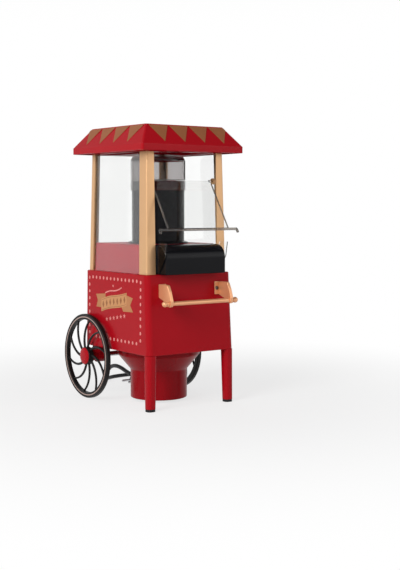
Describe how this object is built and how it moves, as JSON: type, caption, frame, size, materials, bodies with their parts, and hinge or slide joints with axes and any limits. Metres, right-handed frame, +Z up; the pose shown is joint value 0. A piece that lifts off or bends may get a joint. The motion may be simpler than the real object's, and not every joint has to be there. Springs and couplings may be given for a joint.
{
  "type": "popcorn maker",
  "caption": "Tabletop hot-air popcorn maker built like a two-wheeled cart: red base and roof, clear cabinet, tilting front flap, blower, heater and chimney inside.",
  "frame": {"origin": "centre of the machine's footprint on the table, without the cord", "axes": "+Z up, -Y towards the outlet and the handle, +X towards the right wheel"},
  "size_m": [0.2493, 0.3298, 0.4195],
  "materials": {
    "red_plastic": "glossy",
    "gold_plastic": "satin",
    "clear_plastic": "clear, polished",
    "smoked_plastic": "smoked, polished",
    "gloss_black": "glossy",
    "matte_black": "satin",
    "rubber": "matt",
    "cord_black": "satin",
    "aluminium": "spun",
    "steel": "bright",
    "copper_plastic": "metallic satin",
    "mica": "matt",
    "circuit_board": "satin"
  },
  "bodies": {
    "frame": {"base_shell": "red_plastic", "base_floor": "red_plastic", "motor_housing": "red_plastic", "intake_grille": "matte_black", "inner_deck": "red_plastic", "outlet_chute": "gloss_black", "spout_guard_left": "clear_plastic", "spout_guard_right": "clear_plastic", "post_front_left": "gold_plastic", "post_front_right": "gold_plastic", "post_rear_left": "gold_plastic", "post_rear_right": "gold_plastic", "top_frame": "red_plastic", "window_left": "clear_plastic", "window_right": "clear_plastic", "window_rear": "clear_plastic", "popping_chamber": "aluminium", "chimney": "gloss_black", "hood": "smoked_plastic", "fan_shroud": "aluminium", "heater_former": "mica", "heater_coil": "steel", "motor_can": "steel", "motor_mount": "matte_black", "thermostat": "matte_black", "thermal_fuse": "mica", "rectifier_board": "circuit_board", "leg_left": "red_plastic", "leg_right": "red_plastic", "foot_left": "rubber", "foot_right": "rubber", "axle_bracket_left": "red_plastic", "axle_bracket_right": "red_plastic", "axle": "steel", "bracket_left": "copper_plastic", "bracket_right": "copper_plastic", "handle_bar": "copper_plastic", "handle_end_left": "copper_plastic", "handle_end_right": "copper_plastic", "bracket_screws": "steel", "floor_screws": "steel", "switch_frame": "matte_black", "strain_relief": "rubber", "cord": "cord_black", "cord_coil": "cord_black", "cord_end": "cord_black", "cord_tie": "matte_black", "plug": "matte_black"},
    "roof": {"canopy": "red_plastic", "roof_liner": "red_plastic"},
    "cup": {"kernel_cup": "clear_plastic"},
    "fan": {"fan_impeller": "aluminium", "motor_shaft": "steel"},
    "flap": {"flap_pane": "clear_plastic", "flap_lip": "clear_plastic"},
    "left_wheel": {"wheel_left": "gloss_black", "hub_cap_left": "red_plastic"},
    "right_wheel": {"wheel_right": "gloss_black", "hub_cap_right": "red_plastic"},
    "switch_rocker": {"rocker": "matte_black"}
  },
  "joints": [
    {"name": "roof_lift", "type": "slide", "parent": "frame", "child": "roof", "axis": [0, 0, 1], "range_m": [0, 0.12]},
    {"name": "cup_lift", "type": "slide", "parent": "roof", "child": "cup", "axis": [0, 0, 1], "range_m": [0, 0.08]},
    {"name": "fan_spin", "type": "hinge", "parent": "frame", "child": "fan", "pos_m": [0, -0.01153, 0.04], "axis": [0, 0, 1], "continuous": true},
    {"name": "flap_swing", "type": "hinge", "parent": "frame", "child": "flap", "pos_m": [0, -0.07229, 0.3377], "axis": [-1, 0, 0], "range_deg": [-20.5, 50]},
    {"name": "left_wheel_spin", "type": "hinge", "parent": "frame", "child": "left_wheel", "pos_m": [-0.08225, 0.06207, 0.066], "axis": [-1, 0, 0], "continuous": true},
    {"name": "right_wheel_spin", "type": "hinge", "parent": "frame", "child": "right_wheel", "pos_m": [0.08225, 0.06207, 0.066], "axis": [1, 0, 0], "continuous": true},
    {"name": "switch_tilt", "type": "hinge", "parent": "frame", "child": "switch_rocker", "pos_m": [0.038, 0.07759, 0.15], "axis": [1, 0, 0], "range_deg": [0, 16]}
  ]
}
